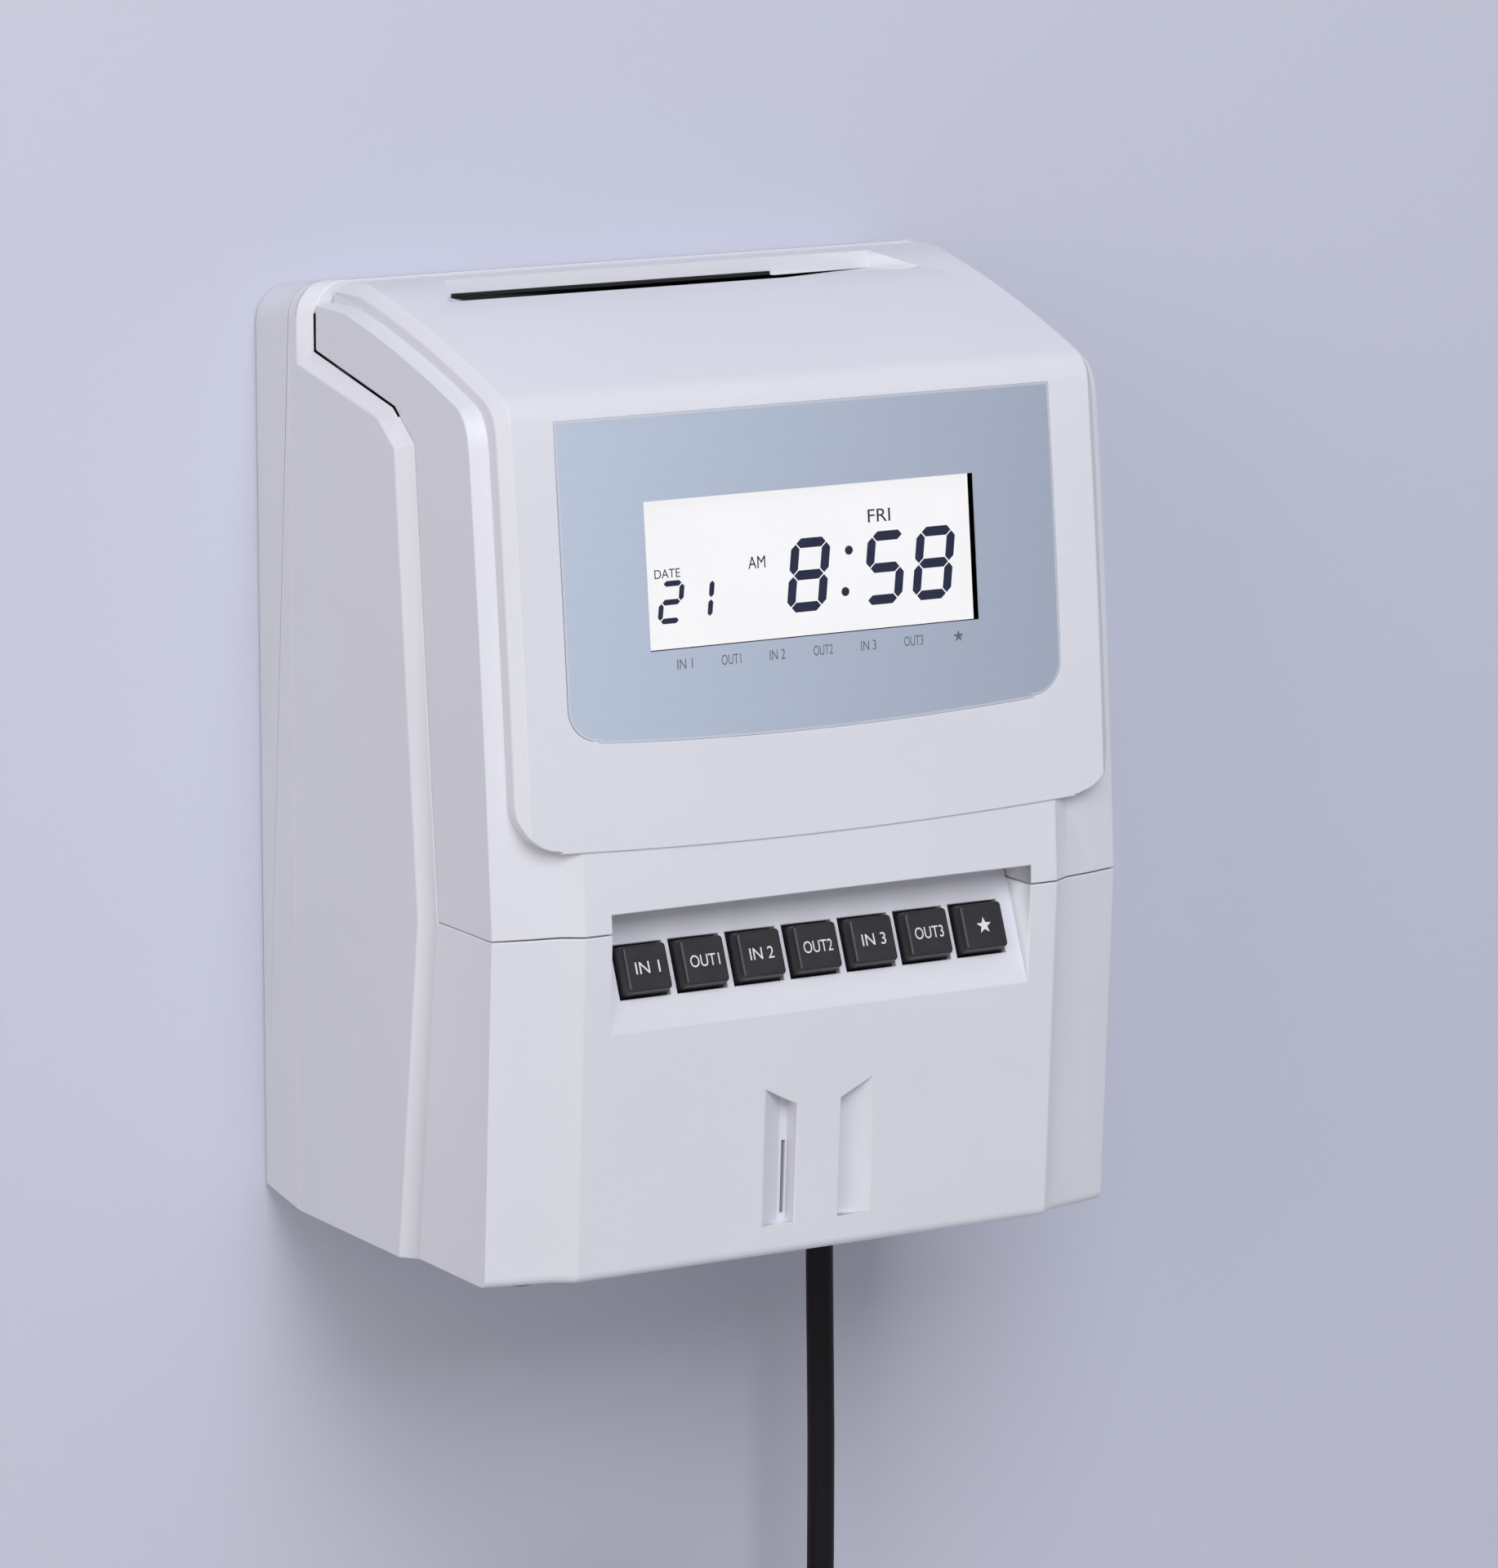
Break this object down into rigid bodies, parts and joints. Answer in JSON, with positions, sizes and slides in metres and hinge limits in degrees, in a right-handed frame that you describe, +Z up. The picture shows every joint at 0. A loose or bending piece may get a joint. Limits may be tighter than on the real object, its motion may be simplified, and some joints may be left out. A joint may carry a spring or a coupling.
{
  "type": "time clock",
  "caption": "Wall-mounted electronic card time recorder with a hinged cover, card slot, lit display, function keys and a mains cord.",
  "frame": {"origin": "on the wall, at the back face, midway between the two hanging holes", "axes": "+Z up, +Y into the wall, so the front faces -Y; +X to the right as seen from the front"},
  "size_m": [0.18, 0.1198, 0.5367],
  "materials": {
    "shell": "fine matt texture",
    "rear_shell": "fine matt texture",
    "steel": "ground steel",
    "motor_can": "drawn steel can",
    "foot_rubber": "moulded rubber",
    "label": "silver-blue brushed film",
    "lens": "clear moulded window",
    "lcd": "display glass",
    "light_box": "white moulding",
    "frame_plastic": "moulded plastic",
    "key": "fine matt texture",
    "board": "circuit board lacquer",
    "switch": "moulded plastic",
    "sheet": "zinc-coated sheet",
    "gear_plastic": "moulded acetal",
    "pinion": "machined",
    "black_plastic": "moulded plastic",
    "knob": "moulded plastic",
    "lamination": "varnished laminations",
    "cord": "matt cord sheath",
    "blade": "plated blades"
  },
  "bodies": {
    "case": {"main_housing": "shell", "rear_case": "rear_shell", "hinge_pins": "steel", "case_screws": "steel", "guide_rod": "steel", "feed_motor": "motor_can", "carriage_motor": "motor_can", "rubber_feet": "foot_rubber", "platen": "foot_rubber", "lcd_panel": "lcd", "lcd_backlight": "light_box", "display_frame": "frame_plastic", "card_guide_rear": "frame_plastic", "card_guide_front": "frame_plastic", "key_board": "board", "main_board": "board", "key_switches": "switch", "chassis": "sheet", "feed_bushes": "gear_plastic", "ribbon_cassette": "black_plastic", "cord_tie": "black_plastic", "transformer": "lamination", "cord_gland": "cord", "cord": "cord", "cord_coil": "cord", "plug": "cord", "plug_blades": "blade"},
    "cover": {"upper_cover": "shell", "slot_liner": "black_plastic", "label_panel": "label", "display_lens": "lens"},
    "key_1": {"key_1": "key"},
    "key_2": {"key_2": "key"},
    "key_3": {"key_3": "key"},
    "key_4": {"key_4": "key"},
    "key_5": {"key_5": "key"},
    "key_6": {"key_6": "key"},
    "key_7": {"key_7": "key"},
    "feed_roller": {"feed_shaft": "steel", "feed_tyres": "foot_rubber", "feed_gear": "gear_plastic"},
    "pinion": {"motor_pinion": "pinion"},
    "pinch_roller": {"pinch_roller": "steel"},
    "carriage": {"print_carriage": "frame_plastic", "print_head": "black_plastic"},
    "lead_screw": {"lead_screw": "steel"},
    "ribbon_knob": {"ribbon_knob": "knob"}
  },
  "joints": [
    {"name": "cover_hinge", "type": "hinge", "parent": "case", "child": "cover", "pos_m": [0, -0.03305, 0.0536], "axis": [-1, 0, 0], "range_deg": [0, 75]},
    {"name": "key_1_press", "type": "slide", "parent": "case", "child": "key_1", "axis": [0, 0.9272, -0.3745], "range_m": [0, 0.002], "stiffness_N_per_m": 300},
    {"name": "key_2_press", "type": "slide", "parent": "case", "child": "key_2", "axis": [0, 0.9272, -0.3745], "range_m": [0, 0.002], "stiffness_N_per_m": 300},
    {"name": "key_3_press", "type": "slide", "parent": "case", "child": "key_3", "axis": [0, 0.9272, -0.3745], "range_m": [0, 0.002], "stiffness_N_per_m": 300},
    {"name": "key_4_press", "type": "slide", "parent": "case", "child": "key_4", "axis": [0, 0.9272, -0.3745], "range_m": [0, 0.002], "stiffness_N_per_m": 300},
    {"name": "key_5_press", "type": "slide", "parent": "case", "child": "key_5", "axis": [0, 0.9272, -0.3745], "range_m": [0, 0.002], "stiffness_N_per_m": 300},
    {"name": "key_6_press", "type": "slide", "parent": "case", "child": "key_6", "axis": [0, 0.9272, -0.3745], "range_m": [0, 0.002], "stiffness_N_per_m": 300},
    {"name": "key_7_press", "type": "slide", "parent": "case", "child": "key_7", "axis": [0, 0.9272, -0.3745], "range_m": [0, 0.002], "stiffness_N_per_m": 300},
    {"name": "feed_spin", "type": "hinge", "parent": "case", "child": "feed_roller", "pos_m": [-0.0139, -0.0524, -0.058], "axis": [1, 0, 0], "continuous": true},
    {"name": "pinion_spin", "type": "hinge", "parent": "case", "child": "pinion", "pos_m": [0.034, -0.0716, -0.058], "axis": [1, 0, 0], "continuous": true},
    {"name": "pinch_spin", "type": "hinge", "parent": "case", "child": "pinch_roller", "pos_m": [-0.0139, -0.0385, -0.058], "axis": [1, 0, 0], "continuous": true},
    {"name": "carriage_slide", "type": "slide", "parent": "case", "child": "carriage", "axis": [1, 0, 0], "range_m": [0, 0.074]},
    {"name": "screw_spin", "type": "hinge", "parent": "case", "child": "lead_screw", "pos_m": [-0.0139, -0.072, -0.019], "axis": [1, 0, 0], "range_deg": [0, 3332]},
    {"name": "knob_spin", "type": "hinge", "parent": "case", "child": "ribbon_knob", "pos_m": [-0.0433, -0.094, -0.04], "axis": [0, -1, 0], "continuous": true}
  ],
  "couplings": [
    {"joint": "pinion_spin", "follows": "feed_spin", "ratio": -3},
    {"joint": "pinch_spin", "follows": "feed_spin", "ratio": -1.3818},
    {"joint": "screw_spin", "follows": "carriage_slide", "rad_per_m": 785.4}
  ]
}
